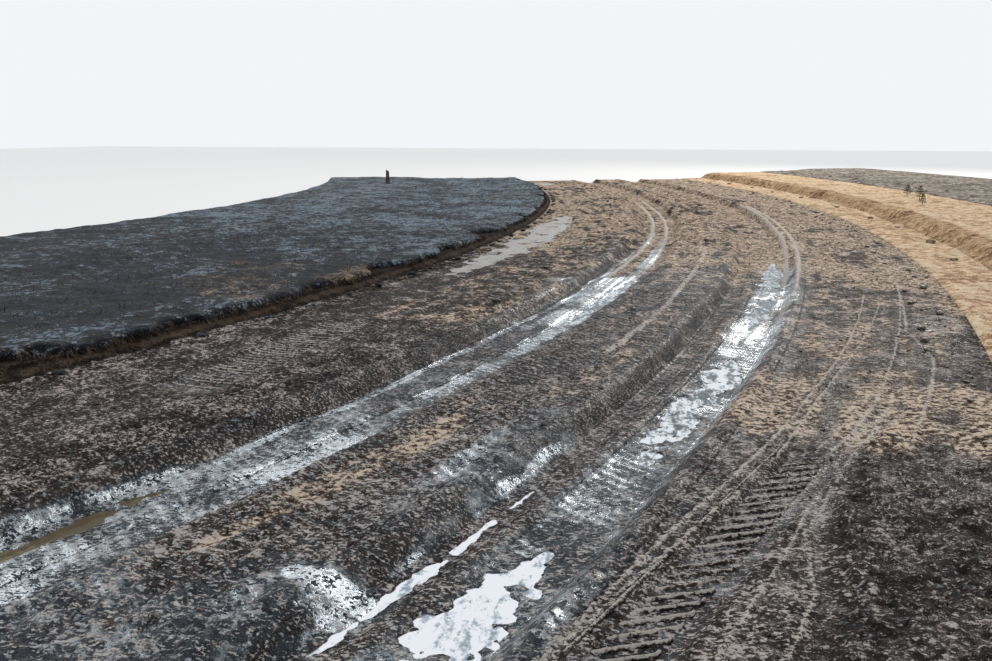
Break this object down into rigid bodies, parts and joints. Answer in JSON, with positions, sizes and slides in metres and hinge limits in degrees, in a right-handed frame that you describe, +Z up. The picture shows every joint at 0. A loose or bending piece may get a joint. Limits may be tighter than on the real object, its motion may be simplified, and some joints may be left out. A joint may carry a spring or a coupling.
{
  "type": "rutted forest track section",
  "caption": "Bend of a muddy forest track with two water-filled ruts, tyre prints, a mossy verge and a sandy bank.",
  "frame": {"origin": "centre of the section's outline on its flat underside", "axes": "+Y along the track at the middle of the bend, +X away from the bend's centre, +Z up"},
  "size_m": [22.1549, 36.3452, 1.1],
  "materials": {
    "subsoil_sand": "matt",
    "packed_sand": "matt",
    "topsoil": "matt",
    "frosted_turf": "matt",
    "churned_mud": "damp",
    "wet_mud": "wet",
    "loose_sand": "matt",
    "orange_sand": "matt",
    "straw_litter": "matt",
    "clear_water": "glossy",
    "turbid_water": "glossy",
    "field_stone": "matt",
    "dry_grass": "matt",
    "pine_needles": "matt",
    "bark": "rough"
  },
  "bodies": {
    "root": {"subsoil_slab": "subsoil_sand", "roadbed_sand": "packed_sand", "verge_left_soil": "topsoil", "verge_left_turf": "frosted_turf", "scarp_left": "topsoil", "sods_left": "frosted_turf", "shoulder_left": "churned_mud", "print_bars_left": "churned_mud", "churned_left": "churned_mud", "berm_left_outer": "churned_mud", "rut_bed_left": "wet_mud", "rut_rib_left": "wet_mud", "berm_left_inner": "churned_mud", "ridge_centre": "churned_mud", "berm_right_inner": "churned_mud", "rut_bed_right": "wet_mud", "rut_rib_right": "wet_mud", "berm_right_outer": "churned_mud", "shoulder_right": "churned_mud", "print_bars_right": "churned_mud", "print_berm_right": "churned_mud", "sand_path_right": "loose_sand", "sand_bank_right": "orange_sand", "verge_right_sand": "loose_sand", "verge_right_litter": "straw_litter", "puddle_right_near": "clear_water", "puddle_right_string": "clear_water", "puddle_right_middle": "clear_water", "puddle_right_far": "clear_water", "puddle_left_near": "turbid_water", "puddle_left_side": "clear_water", "puddle_left_middle": "clear_water", "puddle_scarp_foot": "clear_water", "puddle_verge_far": "clear_water", "clods_left": "churned_mud", "clods_ridge": "churned_mud", "clods_right": "churned_mud", "stones_right": "field_stone", "tufts_left": "dry_grass", "tufts_right": "dry_grass", "seedlings_right": "pine_needles", "stump_left": "bark"}
  },
  "joints": []
}
